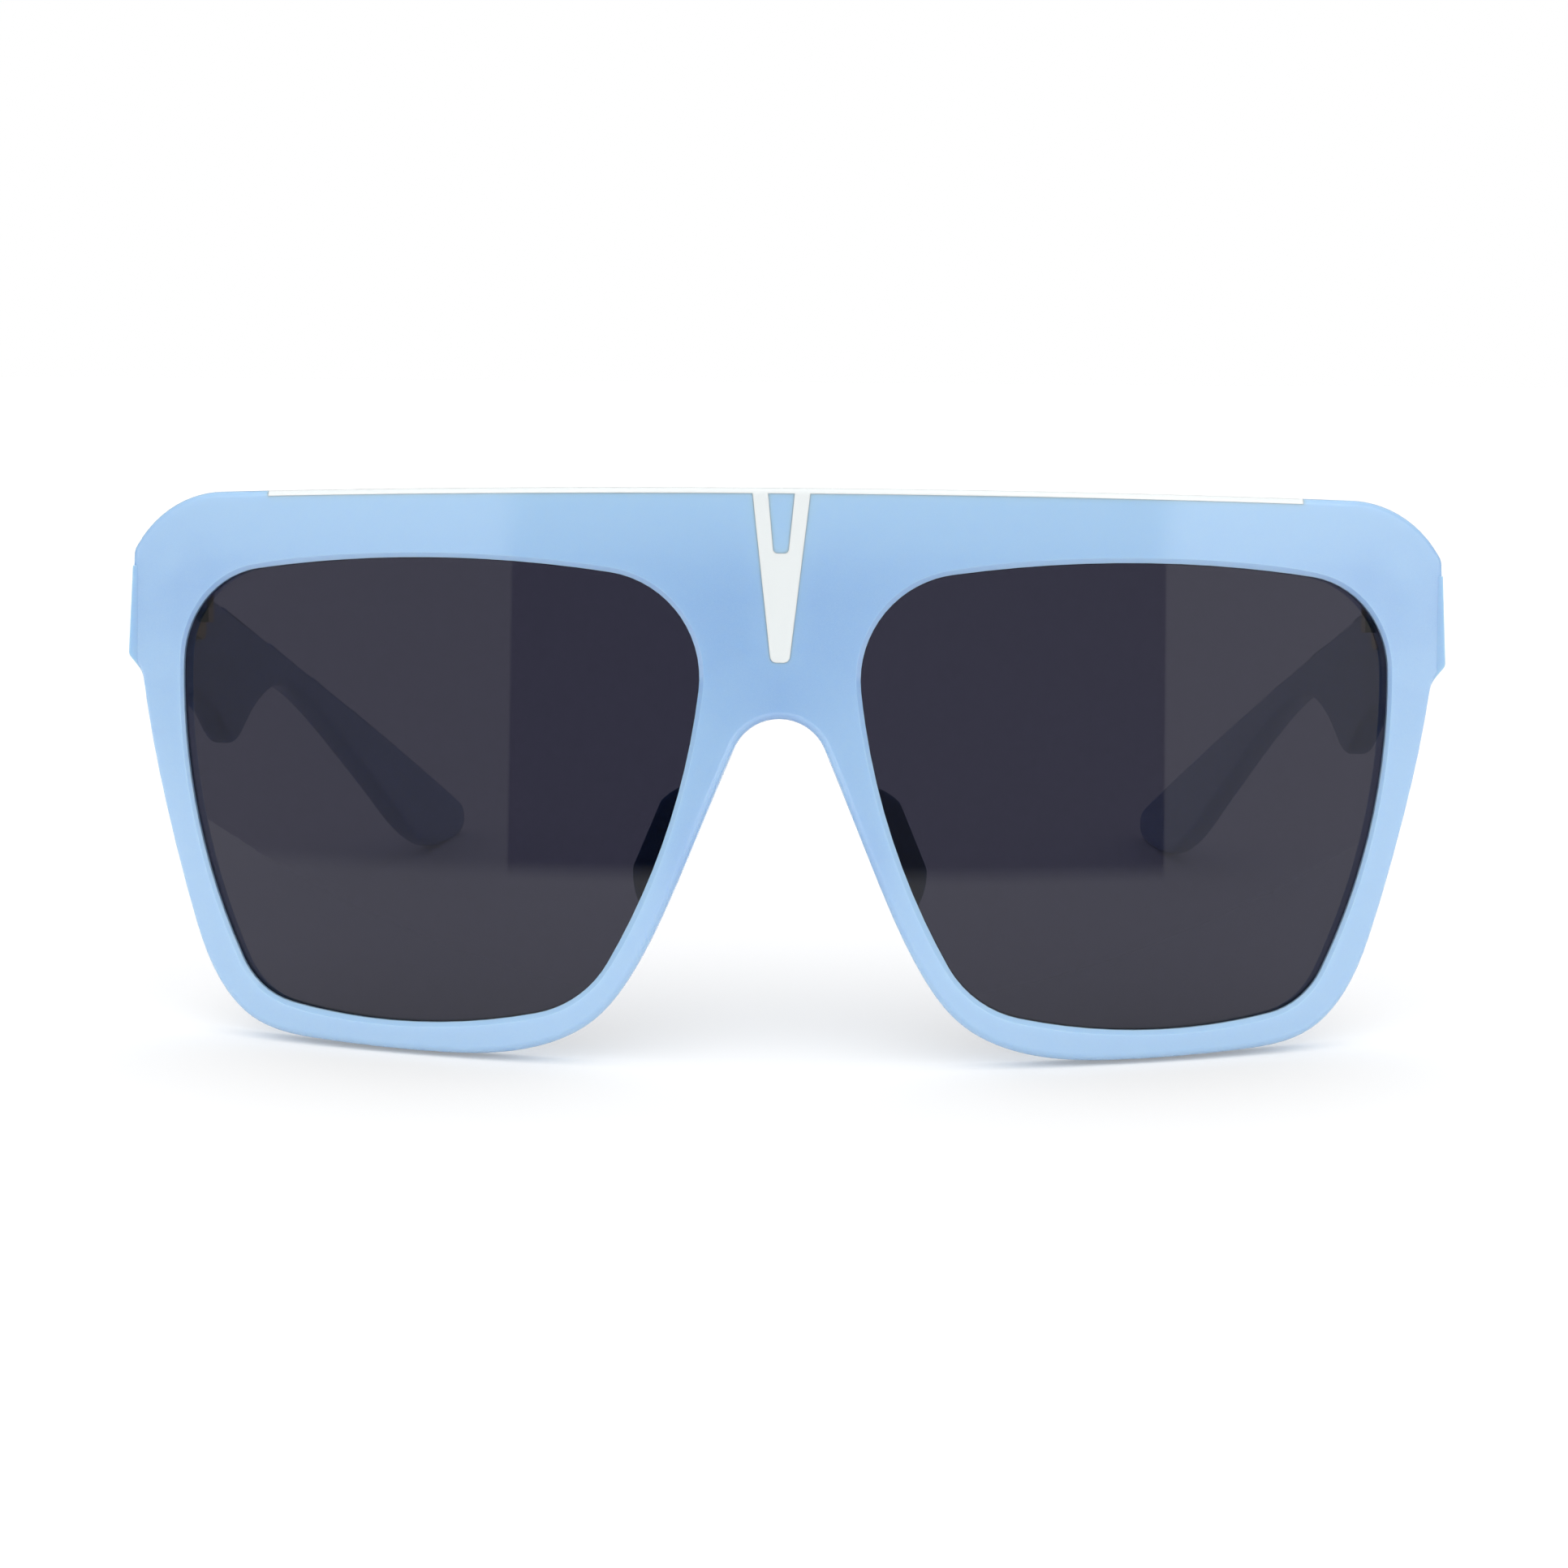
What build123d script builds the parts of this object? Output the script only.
from build123d import *
import math
import os

# Flat top sunglasses with moulded nose pads, an inlaid brow bar and folding temples.
#
# The pair stands as it does on a table: on the bottoms of its rims and on the tips of
# its open temples. X runs across the face, +Y runs from the lenses towards the ears and
# +Z is up. The origin is on the table, under the middle of the pair.
#
# Everything on the front is drawn on two planes that lean back with it. On face_plane,
# x is across and y is up the lens. On plan_plane, x is across and y is straight back.
# The right half is drawn, and the left half is its mirror image.

os.makedirs("parts", exist_ok=True)

# Sizes of the pair, in millimetres and degrees
lens_width = 59.3
lens_height = 50.8
bridge_width = 17.6
side_rim = 6.9
brow_height = 7.6
bottom_rim = 3.3
rim_thickness = 4.0
curve_radius = 143.0
edge_round = 0.8
back_round = 0.4
block_reach = 9.0
lean_angle = 6.2
front_lift = 0.96
front_set = 81.45
overrun = 8.0

half_front = bridge_width / 2 + lens_width + side_rim
front_height = bottom_rim + lens_height + brow_height


def set_back(out, depth=0):
    """How far back the curved front lies, `out` from the middle and `depth` into it."""
    return curve_radius - math.sqrt((curve_radius - depth) ** 2 - out**2)


lean_up = (0, math.sin(math.radians(lean_angle)), math.cos(math.radians(lean_angle)))
lean_forward = (0, -lean_up[2], lean_up[1])
front_foot = (0, -front_set, front_lift)
face_plane = Plane(origin=front_foot, x_dir=(1, 0, 0), z_dir=lean_forward)
plan_plane = Plane(origin=front_foot, x_dir=(1, 0, 0), z_dir=lean_up)

# Outer edge of the front: the end corners, then the sweep round the rim to the nose.
# Each pair is a share of the half width and a share of the height.
end_corner_shares = [(0.94, 1.0), (0.993, 0.896), (1.0, 0.703), (0.979, 0.672), (0.972, 0.622)]
end_corner_rounds = [13.0, 1.5, 1.0, 3.0]
rim_sweep_shares = [
    (0.933, 0.412),
    (0.889, 0.233),
    (0.847, 0.116),
    (0.793, 0.047),
    (0.671, 0.011),
    (0.497, 0.0),
    (0.347, 0.017),
    (0.269, 0.062),
    (0.204, 0.160),
    (0.145, 0.310),
]
nose_arch_radius = 5.3
nose_arch_top = 36.9
nose_side_angle = 23.0

# Lens opening: four shallow arcs through four corners, each corner rounded.
# A corner is a share of the lens width and height from the nose side and the bottom.
lens_corner_shares = {
    "top_nose": (-0.009, 0.933),
    "bottom_nose": (0.208, 0.052),
    "bottom_outer": (0.836, 0.047),
    "top_outer": (0.984, 0.955),
}
middle_share = 0.5
lens_arc_rise = {"nose": 3.6, "bottom": 2.6, "outer": 4.1, "top": 2.9}
lens_corner_round = {"top_nose": 11.5, "bottom_nose": 11.8, "bottom_outer": 8.8, "top_outer": 10.6}
opening_bevel = 0.5

# Lens and the groove that holds it
lens_thickness = 1.8
lens_depth = 1.2
groove_depth = 0.8
lens_gap = 0.05

# Pale bar let into the top edge, with a forked tongue down the bridge
bar_half_length = 57.4
bar_height = 0.65
bar_depth = 2.2
tongue_depth = 0.9
tongue_top_width = 6.2
tongue_foot_width = 2.0
tongue_length = 18.1
tongue_round = 0.7
fork_top_width = 2.85
fork_foot_width = 1.6
fork_length = 6.4
fork_round = 0.5

# Nose pads moulded on the back of the rims
pad_length = 15.0
pad_reach = 6.5
pad_width = 2.8
pad_foot_width = 2.0
pad_place_share = 0.2
pad_flare = 24.0
pad_round = 1.0

# Temples
temple_thickness = 3.2
temple_inset = 1.8
temple_inward = 6.8
temple_gap = 0.25
temple_round = 1.0
temple_end_round = 0.4
temple_root_top = 53.5
temple_root_bottom = 39.0
temple_length = 136.5
temple_top_rise = 0.6
temple_slope = 13.6
temple_root_sweep = 5.0
# Side view of a temple below its long top edge: round the tip, then forward to the root.
# Each pair is a share of the temple length and a share of the root top's height.
temple_tip_share = (0.940, 0.428)
temple_under_shares = [
    (0.975, 0.405),
    (0.9955, 0.3785),
    (1.0, 0.3505),
    (0.9965, 0.325),
    (0.9775, 0.3015),
    (0.945, 0.2895),
    (0.905, 0.282),
    (0.868, 0.280),
    (0.824, 0.295),
    (0.777, 0.324),
    (0.722, 0.372),
    (0.657, 0.439),
    (0.586, 0.510),
    (0.517, 0.579),
    (0.447, 0.645),
    (0.381, 0.701),
    (0.338, 0.730),
    (0.300, 0.742),
    (0.266, 0.733),
    (0.238, 0.712),
    (0.214, 0.685),
    (0.190, 0.648),
    (0.174, 0.622),
    (0.158, 0.612),
    (0.142, 0.624),
    (0.124, 0.654),
    (0.097, 0.691),
    (0.060, 0.716),
]

# Hinges: a plate and two barrels on the front, a leaf and one barrel on the temple
barrel_radius = 1.5
barrel_height = 1.65
barrel_play = 0.05
barrel_inboard = 2.7
barrel_behind = 1.3
hinge_top_drop = 1.4
plate_thickness = 1.3
plate_length = 4.0
leaf_thickness = 1.2
leaf_sunk = 0.6
leaf_length = 9.2
leaf_round = 1.2
web_width = 1.4
seat_gap = 0.03
screw_radius = 0.7
screw_play = 0.05
screw_head_radius = 1.2
screw_head_height = 0.6
screw_edge_round = 0.2
slot_width = 0.35
slot_depth = 0.3
rivet_radius = 0.6
rivet_length = 3.0
rivet_head_radius = 1.0
rivet_head_height = 0.35
rivet_head_round = 0.25
front_rivet_spacing = 3.0
temple_rivet_start = 3.6
temple_rivet_spacing = 3.6

# Where the temples meet the front: outs are measured from the middle, backs from the
# front of the bridge
root_out = half_front - temple_inset - temple_thickness
butt_back = set_back(half_front - side_rim / 2, rim_thickness)
block_inside = half_front - block_reach
block_back = set_back(block_inside, rim_thickness)
axis_out = root_out - barrel_inboard
axis_back = butt_back + barrel_behind
hinge_top = temple_root_top - hinge_top_drop
hinge_foot = hinge_top - 3 * barrel_height
hinge_middle = (hinge_top + hinge_foot) / 2
through_front = -(2 * overrun + butt_back)


def hand_over(piece, node):
    """Name a finished piece and write it to its own file."""
    piece.part.label = node
    export_step(piece.part, f"parts/{node}.step")


def curved_layer(depth, thickness):
    """A curved sheet of the front's full size, `depth` behind its front surface."""
    with BuildPart() as layer:
        with BuildSketch(plan_plane.offset(-overrun)):
            with Locations((0, curve_radius)):
                Circle(curve_radius - depth)
                Circle(curve_radius - depth - thickness, mode=Mode.SUBTRACT)
            Rectangle(
                2 * (half_front + overrun),
                2 * (butt_back + overrun),
                mode=Mode.INTERSECT,
            )
        extrude(amount=front_height + 2 * overrun)
    return layer.part


def skin_of(radius):
    """A test for the curved faces that have this radius."""
    return lambda face: math.isclose(face.radius or 0, radius)


def bowed(start, end, rise):
    """An arc from start to end that swells outwards by `rise` at its middle."""
    span = Vector(*end) - Vector(*start)
    outward = Vector(span.Y, -span.X).normalized()
    middle = (Vector(*start) + Vector(*end)) / 2 + outward * rise
    return ThreePointArc(start, middle, end)


def lens_outline(grow=0):
    """The right lens opening on the front's plane, with its corners moved out by `grow`."""
    corner = {
        name: (
            bridge_width / 2 + across * lens_width + math.copysign(grow, across - middle_share),
            bottom_rim + up * lens_height + math.copysign(grow, up - middle_share),
        )
        for name, (across, up) in lens_corner_shares.items()
    }
    with BuildSketch(face_plane.offset(overrun)) as opening:
        with BuildLine():
            bowed(corner["top_nose"], corner["bottom_nose"], lens_arc_rise["nose"])
            bowed(corner["bottom_nose"], corner["bottom_outer"], lens_arc_rise["bottom"])
            bowed(corner["bottom_outer"], corner["top_outer"], lens_arc_rise["outer"])
            bowed(corner["top_outer"], corner["top_nose"], lens_arc_rise["top"])
        make_face()
        for name, radius in lens_corner_round.items():
            fillet(opening.vertices().sort_by_distance(corner[name])[0], radius + grow)
    return opening.sketch


# Front blank: the outline seen from the front, cut from a curved sheet and rounded all
# round, with a block behind each end that the temple butts against
arch_turn = math.radians(nose_side_angle)
arch_start = (
    nose_arch_radius * math.cos(arch_turn),
    nose_arch_top - nose_arch_radius * (1 - math.sin(arch_turn)),
)
arch_rise = (-math.sin(arch_turn), math.cos(arch_turn))
with BuildPart() as front_outline:
    with BuildSketch(face_plane.offset(overrun)):
        with BuildLine():
            ends = FilletPolyline(
                (0, front_height),
                *[(out * half_front, up * front_height) for out, up in end_corner_shares],
                radius=end_corner_rounds,
            )
            Spline(
                ends @ 1,
                *[(out * half_front, up * front_height) for out, up in rim_sweep_shares],
                arch_start,
                tangents=(ends % 1, arch_rise),
            )
            TangentArc(arch_start, (0, nose_arch_top), tangent=arch_rise)
            mirror(about=Plane.YZ)
        make_face()
    extrude(amount=through_front)

# Each skin of the front and how far its edge is rounded. One half is rounded, up to the
# cut at its middle, and then mirrored.
skin_rounds = [(curve_radius, edge_round), (curve_radius - rim_thickness, back_round)]

with BuildPart() as end_blocks:
    with BuildSketch(plan_plane.offset(temple_root_bottom - seat_gap)):
        with Locations((block_inside, butt_back)):
            Rectangle(block_reach, butt_back - block_back + seat_gap, align=(Align.MIN, Align.MAX))
    extrude(amount=temple_root_top - temple_root_bottom + 2 * seat_gap)
    mirror(about=Plane.YZ)
    add(front_outline.part, mode=Mode.INTERSECT)

with BuildPart() as front_blank:
    add(front_outline.part)
    add(curved_layer(0, rim_thickness), mode=Mode.INTERSECT)
    split(bisect_by=Plane.YZ, keep=Keep.TOP)
    for skin_radius, softness in skin_rounds:
        skin = front_blank.faces().filter_by(skin_of(skin_radius))[0]
        fillet(skin.edges().sort_by(Axis.X)[1:], softness)
    mirror(about=Plane.YZ)
    add(end_blocks.part)
    split(bisect_by=face_plane.offset(-butt_back), keep=Keep.TOP)

# The pale bar let into the top edge and the forked tongue under its middle, cut from the
# blank so that they lie flush with it
tongue_top = front_height - bar_height
with BuildPart() as bar_bed:
    with BuildSketch(face_plane.offset(overrun)):
        with Locations((0, tongue_top)):
            Rectangle(2 * bar_half_length, overrun, align=(Align.CENTER, Align.MIN))
    extrude(amount=through_front)
    add(curved_layer(-overrun, overrun + bar_depth), mode=Mode.INTERSECT)

with BuildSketch(face_plane.offset(overrun)) as tongue_face:
    with BuildLine():
        Polyline(
            (-tongue_top_width / 2, tongue_top),
            (tongue_top_width / 2, tongue_top),
            (tongue_foot_width / 2, tongue_top - tongue_length),
            (-tongue_foot_width / 2, tongue_top - tongue_length),
            close=True,
        )
    make_face()
    fillet(tongue_face.vertices().group_by(Axis.Y)[0], tongue_round)
    with BuildLine():
        Polyline(
            (-fork_top_width / 2, tongue_top),
            (fork_top_width / 2, tongue_top),
            (fork_foot_width / 2, tongue_top - fork_length),
            (-fork_foot_width / 2, tongue_top - fork_length),
            close=True,
        )
    make_face(mode=Mode.SUBTRACT)
    fork_corners = tongue_face.vertices().filter_by_position(
        Axis.Y, tongue_top - fork_length - fork_round, tongue_top - fork_round
    )
    fillet(fork_corners, fork_round)

with BuildPart() as inlay_bed:
    extrude(tongue_face.sketch, amount=through_front)
    add(curved_layer(-overrun, overrun + tongue_depth), mode=Mode.INTERSECT)
    add(bar_bed.part)

with BuildPart() as brow_inlay:
    add(inlay_bed.part)
    add(front_blank.part, mode=Mode.INTERSECT)

# Nose pads, moulded on the back of the rims beside the nose. The right one is drawn across
# the rim's nose edge, leaning out as it goes back, and cut to a half oval seen from its side.
with BuildPart() as nose_pads:
    nose_low = Vector(rim_sweep_shares[-1][0] * half_front, rim_sweep_shares[-1][1] * front_height)
    nose_edge = Vector(*arch_start) - nose_low
    pad_foot = nose_low + nose_edge * pad_place_share
    pad_origin = face_plane.from_local_coords((pad_foot.X, pad_foot.Y, 0))
    along_edge = face_plane.x_dir * nose_edge.X + face_plane.y_dir * nose_edge.Y
    away_from_nose = along_edge.cross(face_plane.z_dir)
    pad_back = rim_thickness + pad_reach
    pad_lean_out = pad_reach * math.tan(math.radians(pad_flare))
    with BuildSketch(Plane(origin=pad_origin, x_dir=away_from_nose, z_dir=along_edge)) as pad_section:
        with BuildLine():
            Polyline(
                (edge_round / 2, rim_thickness / 2),
                (edge_round / 2, rim_thickness),
                (edge_round / 2 + pad_lean_out, pad_back),
                (edge_round / 2 + pad_lean_out + pad_width, pad_back),
                (edge_round / 2 + pad_foot_width, rim_thickness),
                (edge_round / 2 + pad_foot_width, rim_thickness / 2),
                close=True,
            )
        make_face()
        fillet(pad_section.vertices().group_by(Axis.Y)[-1], pad_round)
    extrude(amount=pad_length / 2, both=True)
    with BuildSketch(Plane(origin=pad_origin, x_dir=along_edge, z_dir=away_from_nose)):
        with Locations((0, -rim_thickness / 2)):
            Ellipse(pad_length / 2, pad_back - rim_thickness / 2)
    extrude(amount=2 * overrun, both=True, mode=Mode.INTERSECT)
    mirror(about=Plane.YZ)


def hinge_slab(outs, backs, heights):
    """A block of the right hinge between two outs, two backs and two heights."""
    with BuildSketch(plan_plane.offset(heights[0])) as footprint:
        with Locations((outs[0], backs[0])):
            Rectangle(outs[1] - outs[0], backs[1] - backs[0], align=Align.MIN)
    extrude(footprint.sketch, amount=heights[1] - heights[0])


def hinge_post(radius, heights, mode=Mode.ADD):
    """A round post or hole on the axis of the right hinge, between two heights."""
    with BuildSketch(plan_plane.offset(heights[0])) as ring:
        with Locations((axis_out, axis_back)):
            Circle(radius)
    extrude(ring.sketch, amount=heights[1] - heights[0], mode=mode)


# Right front hinge: a plate let into the end block, with a barrel above and one below
plate_front = butt_back - plate_thickness
plate_inside = axis_out + barrel_radius + barrel_play
plate_outside = plate_inside + plate_length
whole_hinge = (hinge_foot, hinge_top)
outer_barrels = [(hinge_foot, hinge_foot + barrel_height), (hinge_top - barrel_height, hinge_top)]
butt_plane = face_plane.offset(-butt_back)
front_rivet_spots = [
    ((plate_inside + plate_outside) / 2, hinge_middle + front_rivet_spacing / 2),
    ((plate_inside + plate_outside) / 2, hinge_middle - front_rivet_spacing / 2),
]
with BuildPart() as front_hinge_right:
    hinge_slab((plate_inside, plate_outside), (plate_front, butt_back), whole_hinge)
    for heights in outer_barrels:
        hinge_slab((axis_out - barrel_radius, plate_outside), (plate_front, butt_back), heights)
        web_outs = (axis_out - barrel_radius, axis_out + barrel_radius)
        hinge_slab(web_outs, (plate_front, axis_back), heights)
        hinge_post(barrel_radius, heights)
    hinge_post(screw_radius + screw_play, whole_hinge, mode=Mode.SUBTRACT)
    with BuildSketch(butt_plane):
        with Locations(*front_rivet_spots):
            Circle(rivet_radius + seat_gap)
    extrude(amount=plate_thickness, mode=Mode.SUBTRACT)

with BuildPart() as front_rivets_right:
    with BuildSketch(butt_plane):
        with Locations(*front_rivet_spots):
            Circle(rivet_radius)
    extrude(amount=rivet_length)

with BuildPart() as front_hinge_seats:
    seat_outs = (axis_out - barrel_radius - seat_gap, plate_outside + seat_gap)
    seat_heights = (hinge_foot - seat_gap, hinge_top + seat_gap)
    hinge_slab(seat_outs, (plate_front - seat_gap, axis_back), seat_heights)
    with BuildSketch(butt_plane):
        with Locations(*front_rivet_spots):
            Circle(rivet_radius + seat_gap)
    extrude(amount=rivet_length + seat_gap)
    mirror(about=Plane.YZ)

# Front frame: grooved lens openings with a soft bevel, the bed of the inlay and the seats
# of the hinges
with BuildPart() as lens_grooves:
    extrude(lens_outline(groove_depth), amount=through_front)
    add(curved_layer(lens_depth - lens_gap, lens_thickness + 2 * lens_gap), mode=Mode.INTERSECT)
    mirror(about=Plane.YZ)

with BuildPart() as lens_openings:
    extrude(lens_outline(), amount=through_front)
    mirror(about=Plane.YZ)

with BuildPart() as front_frame:
    add(front_blank.part)
    add(lens_openings.part, mode=Mode.SUBTRACT)
    front_skin = front_frame.faces().filter_by(skin_of(curve_radius))[0]
    opening_edges = [edge for wire in front_skin.inner_wires() for edge in wire.edges()]
    chamfer(opening_edges, opening_bevel)
    add(nose_pads.part)
    add(lens_grooves.part, mode=Mode.SUBTRACT)
    add(inlay_bed.part, mode=Mode.SUBTRACT)
    add(front_hinge_seats.part, mode=Mode.SUBTRACT)

# Right lens: a curved sheet a hair smaller than the groove that holds it
with BuildPart() as lens_right:
    extrude(lens_outline(groove_depth - lens_gap), amount=through_front)
    add(curved_layer(lens_depth, lens_thickness), mode=Mode.INTERSECT)

# Right temple, drawn on its inner face: x runs back along it, y runs up and z outwards
inward = math.radians(temple_inward)
temple_run = plan_plane.y_dir * math.cos(inward) - plan_plane.x_dir * math.sin(inward)
temple_out = plan_plane.x_dir * math.cos(inward) + plan_plane.y_dir * math.sin(inward)
temple_root = plan_plane.from_local_coords((root_out, butt_back + temple_gap, 0))
temple_face = Plane(origin=temple_root, x_dir=temple_run, z_dir=temple_out)
root_sweep = math.radians(temple_root_sweep)
leaf_drop = leaf_length * math.tan(math.radians(temple_slope))
leaf_face = temple_face.offset(-(leaf_thickness - leaf_sunk))
temple_rivet_spots = [
    (along, hinge_middle - along * math.tan(math.radians(temple_slope)))
    for along in (temple_rivet_start, temple_rivet_start + temple_rivet_spacing)
]


def temple_point(share):
    """A point of the temple's side view from shares of its length and root height."""
    return (share[0] * temple_length, share[1] * temple_root_top)


def ahead_of_root(height, slope):
    """A point one temple thickness ahead of the root end, on a line that meets it at `height`."""
    return (-temple_thickness, height + temple_thickness * math.tan(math.radians(slope)))


def leaf_outline(grow=0):
    """The hinge leaf on the temple's inner face, grown by `grow`; it slopes with the temple."""
    with BuildSketch(leaf_face) as leaf:
        with BuildLine():
            Polyline(
                (0, hinge_foot - grow),
                (0, hinge_top + grow),
                (leaf_length + grow, hinge_top - leaf_drop + grow),
                (leaf_length + grow, hinge_foot - leaf_drop - grow),
                close=True,
            )
        make_face()
        fillet(leaf.vertices().group_by(Axis.X)[-1], leaf_round)
    return leaf.sketch


with BuildPart() as temple_hinge_right:
    extrude(leaf_outline(), amount=leaf_thickness)
    middle_barrel = (hinge_foot + barrel_height + barrel_play, hinge_top - barrel_height - barrel_play)
    hinge_slab(
        (axis_out, root_out - (leaf_thickness - leaf_sunk) / 2),
        (axis_back - web_width / 2, axis_back + web_width / 2),
        middle_barrel,
    )
    hinge_post(barrel_radius, middle_barrel)
    hinge_post(screw_radius + screw_play, middle_barrel, mode=Mode.SUBTRACT)
    with BuildSketch(leaf_face):
        with Locations(*temple_rivet_spots):
            Circle(rivet_radius + seat_gap)
    extrude(amount=leaf_thickness, mode=Mode.SUBTRACT)

with BuildPart() as temple_rivets_right:
    with BuildSketch(leaf_face):
        with Locations(*temple_rivet_spots):
            Circle(rivet_head_radius)
    extrude(amount=-rivet_head_height)
    fillet(temple_rivets_right.edges().sort_by(Axis.X)[:2], rivet_head_round)
    with BuildSketch(leaf_face):
        with Locations(*temple_rivet_spots):
            Circle(rivet_radius)
    extrude(amount=rivet_length)

with BuildPart() as temple_right:
    with BuildSketch(temple_face):
        with BuildLine():
            tip_top = temple_point(temple_tip_share)
            top_edge = bowed(tip_top, ahead_of_root(temple_root_top, temple_slope), temple_top_rise)
            under_edge = Spline(
                tip_top,
                *[temple_point(share) for share in temple_under_shares],
                ahead_of_root(temple_root_bottom, temple_root_sweep),
                tangents=(-(top_edge % 0), (-math.cos(root_sweep), math.sin(root_sweep))),
                tangent_scalars=(1, 1),
            )
            Line(under_edge @ 1, top_edge @ 1)
        make_face()
    extrude(amount=temple_thickness)
    sides = temple_right.faces().filter_by(GeomType.PLANE).sort_by(SortBy.AREA)[-2:]
    fillet([edge for edge in sides.edges() if edge.length > temple_root_top], temple_round)
    split(bisect_by=Plane(origin=temple_root, z_dir=temple_run), keep=Keep.TOP)
    root_end = temple_right.faces().sort_by(Axis(temple_root, temple_run))[0]
    fillet(root_end.edges(), temple_end_round)
    extrude(leaf_outline(seat_gap), amount=leaf_thickness + seat_gap, mode=Mode.SUBTRACT)
    with BuildSketch(leaf_face):
        with Locations(*temple_rivet_spots):
            Circle(rivet_radius + seat_gap)
    extrude(amount=rivet_length + seat_gap, mode=Mode.SUBTRACT)

# Right hinge screw: its head sits on the upper barrel, with a slot across the head
with BuildPart() as hinge_screw_right:
    hinge_post(screw_head_radius, (hinge_top, hinge_top + screw_head_height))
    fillet(hinge_screw_right.edges().sort_by(Axis.Z)[-1], screw_edge_round)
    hinge_post(screw_radius, whole_hinge)
    with BuildSketch(plan_plane.offset(hinge_top + screw_head_height)):
        with Locations((axis_out, axis_back)):
            Rectangle(2 * screw_head_radius, slot_width)
    extrude(amount=-slot_depth, mode=Mode.SUBTRACT)

right_pieces = {
    "lens": lens_right,
    "temple": temple_right,
    "front_hinge": front_hinge_right,
    "temple_hinge": temple_hinge_right,
    "hinge_screw": hinge_screw_right,
    "front_rivets": front_rivets_right,
    "temple_rivets": temple_rivets_right,
}
hand_over(front_frame, "front_frame")
hand_over(brow_inlay, "brow_inlay")
for name, piece in right_pieces.items():
    hand_over(piece, f"{name}_right")
    with BuildPart() as left_piece:
        mirror(piece.part, about=Plane.YZ)
    hand_over(left_piece, f"{name}_left")
